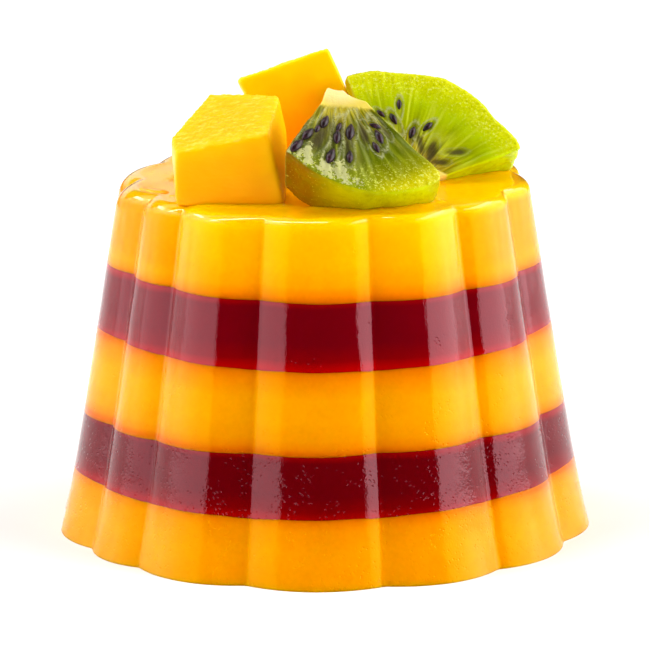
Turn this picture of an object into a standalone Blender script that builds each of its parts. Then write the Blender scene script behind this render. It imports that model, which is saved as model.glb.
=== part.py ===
"""A moulded jelly in five layers, turned out upside down, with four pieces of fruit on top.

Three mango layers and two berry layers are stacked in a fluted, tapered tower. Two chunks of
mango, a wedge of kiwi and a slice of kiwi lie on its flat top.

Units are metres, +Z is up. The origin is the middle of the foot, on the surface that the
jelly stands on. Bearings are measured round +Z from the front (-Y) towards the right (+X).
"""

import math

import bmesh
import bpy
import numpy as np
from mathutils import Vector

MM = 0.001

# ---- driving dimensions -------------------------------------------------------------------

GAP = 0.3 * MM  # air left between pieces that touch

JELLY_HEIGHT = 60.0 * MM
CREST_RADIUS = 45.15 * MM  # to the crest of a flute, at the foot, as the mould gave it
TAPER = 0.1665  # how much the radius shrinks for each unit of height
FOOT_SPREAD = 0.9 * MM  # how far the soft jelly's foot has spread under its weight
FOOT_SPREAD_HEIGHT = 8.0 * MM  # the spread dies away over about this height
RIM_ROUNDING = 2.8 * MM  # radius of the rounded edge round the flat top, front and back
RIM_ROUNDING_SWING = 0.9 * MM  # it is larger by this on the left, and smaller on the right
TOP_LEAN = (0.006, 0.012)  # how much the flat top rises for each unit to the right and back
LAYER_TOPS = (11.4 * MM, 21.5 * MM, 35.2 * MM, 46.4 * MM, JELLY_HEIGHT)
LAYER_NAMES = (
    "layer_1_mango",
    "layer_2_berry",
    "layer_3_mango",
    "layer_4_berry",
    "layer_5_mango",
)

# The mould's thirteen flutes are not all as wide. The list starts at the first groove.
FIRST_GROOVE = -117.0  # degrees of bearing
FLUTE_WIDTHS = (27.5, 26.5, 18.5, 27.5, 30.2, 27.8, 26.5, 29.0, 28.0, 29.5, 30.0, 29.5, 29.5)
FULL_FLUTE_WIDTH = 26.0  # a flute narrower than this rises less above its grooves
FLUTE_DEPTH = 2.2 * MM  # from crest to groove, before the groove is rounded
GROOVE_ROUNDING = 0.12  # the part of each flank that is rounded into the groove
RIM_FLUTE_SHARE = 0.85  # share of the flute depth that is left at the flat top
HALF_FLUTE_STEPS = 6
LAYER_STEPS = 2
RIM_STEPS = 6

MANGO_BEVEL = 0.5 * MM
KIWI_EDGE = 0.7 * MM  # rounding between a kiwi's cut face and its peeled side
KIWI_HALF_LENGTH = 34.0 * MM  # half the length of the whole fruit
KIWI_ARC_POINTS = 26
KIWI_TIP_POINTS = 4
KIWI_EDGE_POINTS = 4
WEDGE_ENDS = (-6.1 * MM, 19.3 * MM)  # the kiwi wedge is cut off upright at these two places

# Front mango chunk: the corners that its knife cuts left, each an (x, y, z) in millimetres,
# at its foot, at its shoulder and at its sloping top, from the front left one to the right.
FRONT_CHUNK_FOOT = (
    (-24.3, -22.8, 60.3),
    (-6.2, -24.1, 60.3),
    (-5.9, -9.8, 60.3),
    (-18.6, -3.4, 60.3),
    (-24.5, -14.5, 60.3),
)
FRONT_CHUNK_SHOULDER = (
    (-5.9, -9.8, 70.0),
    (-25.0, -16.2, 68.5),
)
FRONT_CHUNK_TOP = (
    (-24.3, -22.3, 68.9),
    (-8.9, -23.3, 72.1),
    (-7.2, -8.7, 75.8),
    (-19.0, -2.6, 75.1),
    (-25.2, -16.4, 70.2),
)

# Back mango chunk: four corners of its foot, then of its top, front left first. It leans
# back and its right side is higher. Its foot is trimmed where it meets the jelly.
BACK_CHUNK_FOOT = (
    (-4.8, 1.0, 59.0),
    (10.9, 1.0, 59.0),
    (10.9, 15.6, 55.6),
    (-4.8, 15.6, 55.6),
)
BACK_CHUNK_TOP = (
    (-14.7, 4.9, 76.0),
    (1.1, 6.1, 81.1),
    (1.1, 20.7, 77.7),
    (-14.7, 19.5, 72.6),
)


def colour(hex_code):
    """A colour given as sRGB hex, turned to linear RGBA."""
    channels = [int(hex_code[k : k + 2], 16) / 255 for k in (0, 2, 4)]
    linear = [c / 12.92 if c <= 0.04045 else ((c + 0.055) / 1.055) ** 2.4 for c in channels]
    return (*linear, 1.0)


def make_material(name, hex_code, roughness):
    """A plain Principled material; food is never metallic."""
    material = bpy.data.materials.new(name)
    material.use_nodes = True
    shader = material.node_tree.nodes["Principled BSDF"]
    shader.inputs["Base Color"].default_value = colour(hex_code)
    shader.inputs["Roughness"].default_value = roughness
    shader.inputs["Metallic"].default_value = 0.0
    return material


def add_object(name, mesh, material):
    """Put a finished mesh into the scene as one named sub-part."""
    mesh.materials.append(material)
    piece = bpy.data.objects.new(name, mesh)
    bpy.context.scene.collection.objects.link(piece)
    return piece


def solid_from_rings(name, rings, material):
    """Join rings of equal length, bottom to top, and close both ends round a middle point.

    Every ring runs counter-clockwise seen from above, so the faces point outwards.
    """
    rings = lean(np.asarray(rings, dtype=float)) - plan_middle()
    levels, count, _ = rings.shape
    middles = np.stack([rings[0].mean(axis=0), rings[-1].mean(axis=0)])
    points = np.vstack([rings.reshape(-1, 3), middles])
    bottom_middle = levels * count
    top_middle = bottom_middle + 1
    last = (levels - 1) * count
    faces = []
    for i in range(count):
        j = (i + 1) % count
        faces.append((bottom_middle, j, i))
        for level in range(levels - 1):
            low = level * count
            faces.append((low + i, low + j, low + count + j, low + count + i))
        faces.append((top_middle, last + i, last + j))
    mesh = bpy.data.meshes.new(name)
    mesh.from_pydata(points.tolist(), [], faces)
    return add_object(name, mesh, material)


def trim(piece, point, outward):
    """Cut a piece flat along a plane and take away what lies outside it."""
    cutter = bmesh.new()
    cutter.from_mesh(piece.data)
    everything = list(cutter.verts) + list(cutter.edges) + list(cutter.faces)
    cut = bmesh.ops.bisect_plane(
        cutter,
        geom=everything,
        plane_co=Vector(point) - Vector(plan_middle()),
        plane_no=outward,
        clear_outer=True,
    )
    rim = [item for item in cut["geom_cut"] if isinstance(item, bmesh.types.BMEdge)]
    bmesh.ops.contextual_create(cutter, geom=rim)
    bmesh.ops.triangulate(cutter, faces=[face for face in cutter.faces if len(face.verts) > 4])
    bmesh.ops.recalc_face_normals(cutter, faces=cutter.faces)
    cutter.to_mesh(piece.data)
    cutter.free()


def rest_on_top(piece):
    """Trim a piece along the leaning flat top, so that it rests on a flat spot."""
    trim(piece, (0.0, 0.0, JELLY_HEIGHT + GAP), (TOP_LEAN[0], TOP_LEAN[1], -1.0))


# ---- the jelly ----------------------------------------------------------------------------


def flute_bearings():
    """Bearings round the plan, each one's place across its flute from -1 to 1, and its rise.

    The points of a flute stand at the sine of even steps, so they crowd at its grooves.
    The rise is the share of the full flute depth that a flute stands above its grooves.
    """
    steps = np.arange(-HALF_FLUTE_STEPS, HALF_FLUTE_STEPS)
    across = np.sin(steps / HALF_FLUTE_STEPS * math.pi / 2)
    widths = np.radians(FLUTE_WIDTHS)
    starts = math.radians(FIRST_GROOVE) + np.concatenate([[0.0], np.cumsum(widths)[:-1]])
    bearings = starts[:, None] + widths[:, None] * (across[None, :] + 1) / 2
    rises = np.minimum(widths / math.radians(FULL_FLUTE_WIDTH), 1.0)
    return bearings.ravel(), np.tile(across, len(widths)), np.repeat(rises, len(across))


def flute_drop(across, rise):
    """How far the plan lies inside the full crest, as a share of the flute depth.

    A flank is t^2 of its place t across the flute, a flat arc. Over the last part of the
    flank the slope falls evenly to nothing, which rounds the groove.
    """
    t = np.abs(across)
    start = 1.0 - GROOVE_ROUNDING
    over = np.maximum(t - start, 0.0)
    drop = np.minimum(t, start) ** 2 + 2 * start * (over - over**2 / (2 * GROOVE_ROUNDING))
    deepest = start**2 + start * GROOVE_ROUNDING
    return deepest - rise * (deepest - drop)


def plan_ring(height, inset=0.0, flute_share=1.0):
    """One ring of the fluted plan, whose height and inset may change round it."""
    bearings, across, rise = flute_bearings()
    height = height + 0.0 * bearings
    spread = FOOT_SPREAD * np.exp(-height / FOOT_SPREAD_HEIGHT)
    crest = CREST_RADIUS + spread - TAPER * height - inset
    radius = crest - FLUTE_DEPTH * flute_share * flute_drop(across, rise)
    return np.stack([radius * np.sin(bearings), -radius * np.cos(bearings), height], axis=1)


def lean(points):
    """Raise points with the lean of the flat top: fully above it, not at all below its layer."""
    floor = LAYER_TOPS[-2] + GAP
    share = np.clip((points[..., 2] - floor) / (JELLY_HEIGHT - floor), 0.0, 1.0)
    rise = TOP_LEAN[0] * points[..., 0] + TOP_LEAN[1] * points[..., 1]
    leaned = points.copy()
    leaned[..., 2] += share * rise
    return leaned


def plan_middle():
    """The middle of the foot's bounding box, off the mould's axis as the flutes are uneven."""
    foot = plan_ring(0.0)
    return (foot.min(axis=0) + foot.max(axis=0)) / 2


def layer_rings(bottom, top):
    """The rings of a layer below the top one."""
    return [plan_ring(height) for height in np.linspace(bottom, top, LAYER_STEPS + 1)]


def top_layer_rings(bottom):
    """The rings of the top layer, whose edge is rounded into the flat top.

    At angle a of the rounding, the ring is drawn in by r (1 - cos a) and stands
    r (1 - sin a) below the top, while the flutes fade towards the top.
    """
    bearings, _, _ = flute_bearings()
    rounding = RIM_ROUNDING - RIM_ROUNDING_SWING * np.sin(bearings)
    rings = [plan_ring(bottom)]
    for angle in np.linspace(0.0, math.pi / 2, RIM_STEPS + 1):
        height = JELLY_HEIGHT - rounding * (1 - math.sin(angle))
        inset = rounding * (1 - math.cos(angle))
        share = 1.0 - (1.0 - RIM_FLUTE_SHARE) * math.sin(angle) ** 2
        rings.append(plan_ring(height, inset, share))
    return rings


def build_jelly():
    """Stack the five layers, with a gap under each but the first."""
    mango = make_material("mango_jelly", "FFA800", 0.15)
    berry = make_material("berry_jelly", "75030F", 0.15)
    bottom = 0.0
    for name, top in zip(LAYER_NAMES, LAYER_TOPS):
        rings = top_layer_rings(bottom) if top == JELLY_HEIGHT else layer_rings(bottom, top)
        material = mango if name.endswith("mango") else berry
        piece = solid_from_rings(name, rings, material)
        piece.data.shade_smooth()
        piece.data.set_sharp_from_angle(angle=math.radians(40))
        bottom = top + GAP


# ---- the fruit ----------------------------------------------------------------------------


def bevel_edges(piece, width):
    """Soften the knife-cut edges of a chunk."""
    bevel = piece.modifiers.new("soft_edges", "BEVEL")
    bevel.width = width
    bevel.segments = 2
    bevel.limit_method = "ANGLE"
    bevel.angle_limit = math.radians(30)


def build_front_chunk(material):
    """A hand-cut chunk: the tightest skin of flat cuts round its corners."""
    corners = np.array(FRONT_CHUNK_FOOT + FRONT_CHUNK_SHOULDER + FRONT_CHUNK_TOP) * MM
    shell = bmesh.new()
    points = [shell.verts.new(point) for point in lean(corners) - plan_middle()]
    hull = bmesh.ops.convex_hull(shell, input=points)
    inner = [item for item in hull["geom_interior"] if isinstance(item, bmesh.types.BMVert)]
    bmesh.ops.delete(shell, geom=inner, context="VERTS")
    flat = math.radians(1)
    bmesh.ops.dissolve_limit(shell, angle_limit=flat, verts=shell.verts, edges=shell.edges)
    bmesh.ops.recalc_face_normals(shell, faces=shell.faces)
    mesh = bpy.data.meshes.new("mango_chunk_front")
    shell.to_mesh(mesh)
    shell.free()
    bevel_edges(add_object("mango_chunk_front", mesh, material), MANGO_BEVEL)


def build_back_chunk(material):
    """A leaning block, trimmed flat where it rests."""
    rings = np.array([BACK_CHUNK_FOOT, BACK_CHUNK_TOP]) * MM
    piece = solid_from_rings("mango_chunk_back", rings, material)
    rest_on_top(piece)
    bevel_edges(piece, MANGO_BEVEL)


class KiwiCut:
    """A piece cut from a round slice of kiwi, leaning back on its foot.

    The slice's cut face is a plane through `core` whose normal has the bearing `turn` and
    rises by `rise` degrees. In that plane, angles run from the level direction to the
    right (0) by the way up the slope (90). The piece spans `first` to `last`, and its radius
    goes from one of `radii` to the other, plus a wave (height, crest angle, period) that
    the peeling knife left. Behind the face the fruit narrows like an ellipsoid, and its
    outline moves sideways by `slant` for each unit of depth, as the cut wasn't square.
    """

    def __init__(
        self, name, core, turn, rise, span, radii, wave, thickness, tip, slant=(0.0, 0.0)
    ):
        self.name = name
        self.core = np.array(core) * MM
        self.first, self.last = np.radians(span)
        self.radii = np.array(radii) * MM
        self.wave_height = wave[0] * MM
        self.wave_crest, self.wave_period = np.radians(wave[1:])
        self.thickness = thickness * MM
        self.tip = tip * MM
        self.slant = np.array(slant)
        bearing, rise = math.radians(turn), math.radians(rise)
        self.normal = np.array(
            [
                math.sin(bearing) * math.cos(rise),
                -math.cos(bearing) * math.cos(rise),
                math.sin(rise),
            ]
        )
        self.level = np.array([math.cos(bearing), math.sin(bearing), 0.0])
        self.upslope = np.cross(self.normal, self.level)

    def outline(self, depth, shrink):
        """The outline at a depth, counter-clockwise: the peeled arc, then the trimmed tip."""
        turn = np.linspace(self.first, self.last, KIWI_ARC_POINTS)
        share = (turn - self.first) / (self.last - self.first)
        wave = self.wave_height * np.cos((turn - self.wave_crest) / self.wave_period * 2 * math.pi)
        radius = self.radii[0] + (self.radii[1] - self.radii[0]) * share + wave
        radius = radius * math.sqrt(1.0 - (depth / KIWI_HALF_LENGTH) ** 2) - shrink
        arc = np.stack([radius * np.cos(turn), radius * np.sin(turn)], axis=1)
        back = np.linspace(self.last, self.first, KIWI_TIP_POINTS)
        tip = self.tip * np.stack([np.cos(back), np.sin(back)], axis=1)
        return np.vstack([arc, tip])

    def place(self, flat, depth):
        """Carry points of the face's plane into space, at a depth behind the face."""
        flat = flat + depth * self.slant
        return (
            self.core
            + flat[:, :1] * self.level
            + flat[:, 1:] * self.upslope
            - depth * self.normal
        )

    def build(self, material):
        """Stack outlines from the back face to the front one, with rounded edges."""
        angles = np.linspace(0.0, math.pi / 2, KIWI_EDGE_POINTS)
        shrinks = KIWI_EDGE * (1 - np.sin(angles))
        depths = KIWI_EDGE * (1 - np.cos(angles))
        middle = self.thickness / 2
        rings = [*zip(self.thickness - depths, shrinks), (middle, 0.0)]
        rings += [*zip(depths, shrinks)][::-1]
        stack = [self.place(self.outline(depth, shrink), depth) for depth, shrink in rings]
        piece = solid_from_rings(self.name, stack, material)
        rest_on_top(piece)
        piece.data.shade_smooth()
        piece.data.set_sharp_from_angle(angle=math.radians(35))
        self.piece = piece


def build_fruit():
    """Lay the four pieces of fruit on the flat top."""
    mango = make_material("mango_flesh", "FFB000", 0.35)
    kiwi = make_material("kiwi_flesh", "8CAA0A", 0.3)
    build_front_chunk(mango)
    build_back_chunk(mango)
    wedge = KiwiCut(
        "kiwi_wedge_front",
        core=(2.1, -16.6, 80.8),
        turn=22.0,
        rise=45.0,
        span=(-131.5, -58.5),
        radii=(19.2, 25.8),
        wave=(0.75, -92.0, 148.0),
        thickness=9.5,
        tip=3.2,
        slant=(0.1, -0.08),
    )
    kiwi_slice = KiwiCut(
        "kiwi_slice_back",
        core=(12.86, -10.58, 59.17),
        turn=6.3,
        rise=34.8,
        span=(19.5, 109.5),
        radii=(22.4, 22.9),
        wave=(0.39, 20.0, 42.5),
        thickness=9.5,
        tip=0.8,
    )
    wedge.build(kiwi)
    kiwi_slice.build(kiwi)
    trim(wedge.piece, (WEDGE_ENDS[0], 0.0, 0.0), (-1.0, 0.0, 0.0))
    trim(wedge.piece, (WEDGE_ENDS[1], 0.0, 0.0), (1.0, 0.0, 0.0))
    # The slice's hidden left end is cut along the back chunk, which stands beside it.
    corners = np.array(BACK_CHUNK_FOOT[1:3] + BACK_CHUNK_TOP[1:3]) * MM
    side = np.cross(corners[2] - corners[0], corners[1] - corners[0])
    side /= np.linalg.norm(side)
    trim(kiwi_slice.piece, corners[0] - side * GAP, side)


def main():
    """Clear the scene and build every piece."""
    for old in list(bpy.data.objects):
        bpy.data.objects.remove(old)
    build_jelly()
    build_fruit()


main()
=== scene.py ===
# %% [markdown]
# # A moulded jelly with fruit on top
#
# This lesson gives a turned-out jelly its looks: five layers of mango and berry jelly in a
# fluted tower, and on top two chunks of mango, two cuts of kiwi with their seeds, and two
# thin films of juice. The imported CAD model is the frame. Every size below is either read
# back from that frame or is a small finishing measure, such as how far juice climbs a piece
# of fruit. Lengths are in metres and +Z is up.

import math

import bpy
import numpy as np
from mathutils import Matrix, Vector


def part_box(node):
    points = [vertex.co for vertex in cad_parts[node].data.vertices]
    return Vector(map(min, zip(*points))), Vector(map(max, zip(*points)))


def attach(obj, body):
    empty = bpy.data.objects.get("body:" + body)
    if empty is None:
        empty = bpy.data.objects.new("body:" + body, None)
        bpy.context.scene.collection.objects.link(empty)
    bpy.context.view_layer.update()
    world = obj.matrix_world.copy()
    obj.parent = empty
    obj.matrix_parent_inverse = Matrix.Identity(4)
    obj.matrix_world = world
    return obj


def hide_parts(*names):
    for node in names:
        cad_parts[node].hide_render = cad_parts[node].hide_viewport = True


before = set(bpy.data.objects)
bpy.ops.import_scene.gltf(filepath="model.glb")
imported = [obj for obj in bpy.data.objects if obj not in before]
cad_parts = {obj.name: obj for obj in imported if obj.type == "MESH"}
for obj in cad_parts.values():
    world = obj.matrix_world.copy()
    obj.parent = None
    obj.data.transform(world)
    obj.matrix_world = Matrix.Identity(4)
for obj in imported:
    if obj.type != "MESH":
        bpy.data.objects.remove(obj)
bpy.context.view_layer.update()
MM = 0.001
print("frame:", sorted(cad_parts))

# %% [markdown]
# ## Reading the mould back from the frame
#
# A fluted mould is a ring of shallow arcs that meet in grooves. The crests of all the arcs
# lie on one circle, whose middle is the mould's axis, and the grooves are where the outline
# comes nearest to that axis. Both could be typed in again by hand, but measuring them on the
# CAD foot keeps the looks true to the solid if the solid ever changes.


# %% Measure the flutes
def node_points(name):
    """The corners of a CAD node as rows of x, y, z, each kept once."""
    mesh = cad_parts[name].data
    flat = np.empty(len(mesh.vertices) * 3, np.float32)
    mesh.vertices.foreach_get("co", flat)
    return np.unique(flat.reshape(-1, 3).astype(float).round(7), axis=0)


def bearing_of(points, axis=(0.0, 0.0)):
    """Bearing round the axis, from the front (-Y) towards the right (+X), in radians."""
    return np.arctan2(points[:, 0] - axis[0], axis[1] - points[:, 1])


def fit(columns, values):
    """Least squares: the factors that make the columns add up nearest to the values."""
    return np.linalg.lstsq(np.stack(columns, axis=1), values, rcond=None)[0]


def peaks(values):
    """Places in a closed ring of values that are higher than both neighbours."""
    return np.flatnonzero((values > np.roll(values, 1)) & (values >= np.roll(values, -1)))


def rim_points(points, height):
    """The points of one level of a layer, in order round the axis, without the middle one."""
    ring = points[np.abs(points[:, 2] - height) < 0.01 * MM]
    ring = ring[np.hypot(ring[:, 0], ring[:, 1]) > 10 * MM]
    return ring[np.argsort(bearing_of(ring))]


def round_middle(points):
    """Middle of the circle x^2 + y^2 = 2 a x + 2 b y + c that runs nearest to the points."""
    columns = [2 * points[:, 0], 2 * points[:, 1], np.ones(len(points))]
    return fit(columns, (points[:, :2] ** 2).sum(axis=1))[:2]


LAYERS = sorted(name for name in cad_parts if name.startswith("layer_"))
layer_tops = [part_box(name)[1].z for name in LAYERS]
foot = rim_points(node_points(LAYERS[0]), 0.0)
crests = foot[peaks(np.hypot(foot[:, 0], foot[:, 1]))]
AXIS = round_middle(crests)
# A narrow flute stands less high, so the circle is fitted again without its crest.
full = np.hypot(*(crests[:, :2] - AXIS).T)
AXIS = round_middle(crests[full > np.median(full) - 0.2 * MM])
reach = np.hypot(*(foot[:, :2] - AXIS).T)
grooves = peaks(-reach)
GROOVES = np.sort(bearing_of(foot[grooves], AXIS))
crests = foot[peaks(reach)]
order = (np.searchsorted(GROOVES, bearing_of(crests, AXIS)) - 1) % len(GROOVES)
RISES = reach[peaks(reach)][np.argsort(order)] - reach[grooves].mean()
FLUTE_DEPTH = np.median(RISES)
print("axis", AXIS / MM, "mm; grooves", np.degrees(GROOVES).round(1))
print("flutes stand", (RISES / MM).round(2), "mm above their grooves")

# %% [markdown]
# The wall tapers as it rises, so the mould can be lifted off, and the soft foot has spread a
# little. The crest radius at each level of the CAD gives both. The flat top isn't quite
# level, and a plane fitted through its rim says how it leans.

# %% Measure the taper and the lean of the top
FOOT_SPREAD_HEIGHT = 8 * MM  # the spread of the foot dies away over about this height
FLAT_SHARE = 0.75  # the plane is fitted inside this share of the foot's radius
FLAT_DEPTH = 1.5 * MM  # and to points no deeper than this below the highest one
PLANE_PASSES = 6


def crest_reach(points, height):
    """The usual distance from the axis to the crests at one level: their median."""
    ring = rim_points(points, height)
    reach = np.hypot(ring[:, 0] - AXIS[0], ring[:, 1] - AXIS[1])
    return np.median(reach[peaks(reach)])


levels = [(0.0, crest_reach(node_points(LAYERS[0]), 0.0))]
for name, top in zip(LAYERS[:-1], layer_tops[:-1]):
    levels.append((top, crest_reach(node_points(name), top)))
heights, radii = np.array(levels).T
spread = np.exp(-heights / FOOT_SPREAD_HEIGHT)
FOOT_RADIUS, TAPER, FOOT_SPREAD = fit([np.ones(len(heights)), -heights, spread], radii)

flat = node_points(LAYERS[-1])
flat = flat[np.hypot(flat[:, 0], flat[:, 1]) < FLAT_SHARE * FOOT_RADIUS]
flat = flat[flat[:, 2] > layer_tops[-1] - FLAT_DEPTH]
for _ in range(PLANE_PASSES):
    # Points on the rounded rim lie below the plane, so each pass drops the lowest of them.
    slope_x, slope_y, level = fit([flat[:, 0], flat[:, 1], np.ones(len(flat))], flat[:, 2])
    below = slope_x * flat[:, 0] + slope_y * flat[:, 1] + level - flat[:, 2]
    flat = flat[below < 0.02 * MM]


def top_height(points):
    """Height of the leaning flat top under or over each point."""
    return slope_x * points[..., 0] + slope_y * points[..., 1] + level


print("taper", TAPER.round(4), "from", (np.array([FOOT_RADIUS, FOOT_SPREAD]) / MM).round(2), "mm")
print("top at", (level / MM).round(2), "mm, leans", slope_x.round(4), "in x,", slope_y.round(4), "in y")

# %% [markdown]
# ## Small tools for shapes
#
# Every new piece is a grid of points worked out with numpy and handed to Blender in one go.
# `foreach_set` copies whole arrays, so a hundred thousand points take a moment, where a
# loop over vertices would take minutes.


# %% Turn arrays into a piece
def make_piece(name, points, quads, triangles=(), marks=None, flat_caps=False):
    """A smooth-shaded object at the origin from arrays of points and faces.

    `marks` are named numbers, one for each point, that materials can read as attributes.
    With `flat_caps` the triangles stay flat and the rings they close are hard edges. Soft
    ones would shade the wall halfway towards its cap, as a dark line along each border.
    """
    quads = np.asarray(quads, np.int32).reshape(-1, 4)
    triangles = np.asarray(triangles, np.int32).reshape(-1, 3)
    corners = np.concatenate([quads.ravel(), triangles.ravel()])
    sizes = np.concatenate([np.full(len(quads), 4), np.full(len(triangles), 3)])
    mesh = bpy.data.meshes.new(name)
    mesh.vertices.add(len(points))
    mesh.vertices.foreach_set("co", np.asarray(points, np.float32).ravel())
    mesh.loops.add(len(corners))
    mesh.loops.foreach_set("vertex_index", corners)
    mesh.polygons.add(len(sizes))
    mesh.polygons.foreach_set("loop_start", np.concatenate([[0], np.cumsum(sizes)[:-1]]))
    for mark, values in (marks or {}).items():
        layer = mesh.attributes.new(mark, "FLOAT", "POINT")
        layer.data.foreach_set("value", np.asarray(values, np.float32))
    mesh.update(calc_edges=True)
    mesh.validate()
    mesh.shade_smooth()
    if flat_caps:
        smooth = np.concatenate([np.ones(len(quads), bool), np.zeros(len(triangles), bool)])
        mesh.polygons.foreach_set("use_smooth", smooth)
        capped = np.zeros(len(points), bool)
        capped[triangles] = True
        ends = np.zeros(2 * len(mesh.edges), np.int32)
        mesh.edges.foreach_get("vertices", ends)
        hard = mesh.attributes.new("sharp_edge", "BOOLEAN", "EDGE")
        hard.data.foreach_set("value", capped[ends.reshape(-1, 2)].all(axis=1))
    piece = bpy.data.objects.new(name, mesh)
    bpy.context.scene.collection.objects.link(piece)
    print(f"{name}: {len(points)} points, {len(quads)} quads, {len(triangles)} triangles")
    return piece


def ripples(points, wavelength, seed, waves=28):
    """Gentle random relief: a sum of cosine waves that run in random directions.

    Each wave's length lies between 0.6 and 1.8 times the one asked for. The sum is scaled
    so that it mostly stays between -1 and 1.
    """
    draw = np.random.default_rng(seed)
    directions = draw.normal(size=(waves, points.shape[1]))
    directions /= np.linalg.norm(directions, axis=1)[:, None]
    numbers = 2 * math.pi / (wavelength * draw.uniform(0.6, 1.8, waves))
    phases = draw.uniform(0.0, 2 * math.pi, waves)
    return np.cos(points @ (directions * numbers[:, None]).T + phases).sum(axis=1) / math.sqrt(waves)


def smooth_step(low, high, values):
    """0 below `low`, 1 above `high`, and 3t^2 - 2t^3 between them."""
    t = np.clip((values - low) / (high - low), 0.0, 1.0)
    return t * t * (3 - 2 * t)


# %% [markdown]
# ## The jelly tower
#
# Jelly copies its mould, so the wall is a formula: a flank falls from the crest of its flute
# as t^2 of its place t across it, a flat arc, and the last part of it is rounded into the
# groove. The points of a flute stand at the sine of even steps. That crowds them at the
# grooves, where the wall turns fastest and where the thin bright lines of a wet jelly
# appear.

# %% The fluted wall
FLANK_STEPS = 24  # points from the crest of a flute to its groove
GROOVE_ROUNDING = 0.07  # the part of each flank that is rounded into the groove
RIM_ROUNDING = 1.8 * MM  # radius of the rounded edge round the flat top, front and back
RIM_ROUNDING_SIDES = 0.8 * MM  # it is larger by this at both sides
RIM_ROUNDING_SWING = 0.9 * MM  # and larger by this on the left, smaller on the right
RIM_FLUTE_SHARE = 0.9  # share of the flute depth that is left at the flat top
RING_STEP = 0.5 * MM  # height between two rings of the wall
RIM_STEPS = 18
WALL_WAVER = 0.02 * MM  # how far the set jelly strays from the mould's exact form


def flute_drop(across):
    """How far the wall lies inside the crest, from 0 at the crest to 1 in the groove."""
    t = np.abs(across)
    start = 1.0 - GROOVE_ROUNDING
    over = np.maximum(t - start, 0.0)
    drop = np.minimum(t, start) ** 2 + 2 * start * (over - over**2 / (2 * GROOVE_ROUNDING))
    return drop / (start**2 + start * GROOVE_ROUNDING)


across = np.sin(np.arange(-FLANK_STEPS, FLANK_STEPS) / FLANK_STEPS * math.pi / 2)
widths = np.diff(np.append(GROOVES, GROOVES[0] + 2 * math.pi))
BEARINGS = (GROOVES[:, None] + widths[:, None] * (across[None, :] + 1) / 2).ravel()
DROPS = (FLUTE_DEPTH - RISES[:, None] * (1 - flute_drop(across))).ravel()
RING_POINTS = len(BEARINGS)
AWAY = np.stack([np.sin(BEARINGS), -np.cos(BEARINGS)], axis=1)  # from the axis, in x and y


def wall_ring(height, inset=0.0, flute_share=1.0):
    """One ring of the fluted wall; height and inset may change round it."""
    height = height + np.zeros(RING_POINTS)
    crest = FOOT_RADIUS - TAPER * height + FOOT_SPREAD * np.exp(-height / FOOT_SPREAD_HEIGHT)
    radius = crest - inset - DROPS * flute_share
    ring = np.column_stack([AXIS + radius[:, None] * AWAY, height])
    ring[:, :2] += WALL_WAVER * ripples(ring, 9 * MM, seed=5)[:, None] * AWAY
    return ring


print(len(widths), "flutes,", RING_POINTS, "points in a ring")


# %% Close a stack of rings
def stacked_rings(rings):
    """Points, quads and triangles of rings joined upwards and closed round two middle points."""
    levels, count, _ = rings.shape
    points = np.vstack([rings.reshape(-1, 3), rings[:1].mean(axis=1), rings[-1:].mean(axis=1)])
    here = np.arange(count)
    beside = np.roll(here, -1)
    low = (np.arange(levels - 1) * count)[:, None]
    quads = np.stack([low + here, low + beside, low + count + beside, low + count + here], axis=2)
    last = (levels - 1) * count
    bottom = np.stack([np.full(count, levels * count), beside, here], axis=1)
    top = np.stack([np.full(count, levels * count + 1), last + here, last + beside], axis=1)
    return points, quads.reshape(-1, 4), np.vstack([bottom, top])


# %% [markdown]
# Where fruit touches wet jelly, juice creeps up its side and leaves a small curved skirt.
# It is what ties the fruit to the jelly in the eye, so it is shaped and not painted: the
# flat top rises round each fruit's foot by `h e^(-d/w)`, with d the distance to the foot.

# %% The feet of the fruit
SKIRT_HEIGHT = 0.75 * MM
SKIRT_WIDTH = 0.7 * MM
FRUIT = sorted(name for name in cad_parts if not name.startswith("layer_"))


def in_order(flat):
    """Corners of a flat outline in order round its middle, without the one in the middle."""
    flat = flat[np.hypot(*(flat - flat.mean(axis=0)).T) > 1.0 * MM]
    from_middle = flat - flat.mean(axis=0)
    return flat[np.argsort(np.arctan2(from_middle[:, 1], from_middle[:, 0]))]


def foot_outline(name):
    """The outline of the flat spot that a piece of fruit rests on."""
    points = node_points(name)
    lift = points[:, 2] - top_height(points)
    return in_order(points[lift < lift.min() + 0.05 * MM, :2])


def distance_outside(spots, outline):
    """Distance from each spot to a convex outline, and 0 inside it."""
    edges = np.roll(outline, -1, axis=0) - outline
    away = spots[:, None, :] - outline[None, :, :]
    along = np.clip((away * edges).sum(axis=2) / (edges**2).sum(axis=1), 0.0, 1.0)
    nearest = np.linalg.norm(away - along[..., None] * edges, axis=2).min(axis=1)
    inside = (edges[:, 0] * away[..., 1] - edges[:, 1] * away[..., 0] >= 0).all(axis=1)
    return np.where(inside, 0.0, nearest)


FEET = {name: foot_outline(name) for name in FRUIT}
for name, outline in FEET.items():
    print(name, "rests on", len(outline), "corners,", (np.ptp(outline, axis=0) / MM).round(1), "mm")


# %% Build the five layers
CAP_RINGS = 90  # rings from the rounded rim to the middle of the flat top
TOP_WAVER = 0.06 * MM  # long, low swells of the wet top
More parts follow.
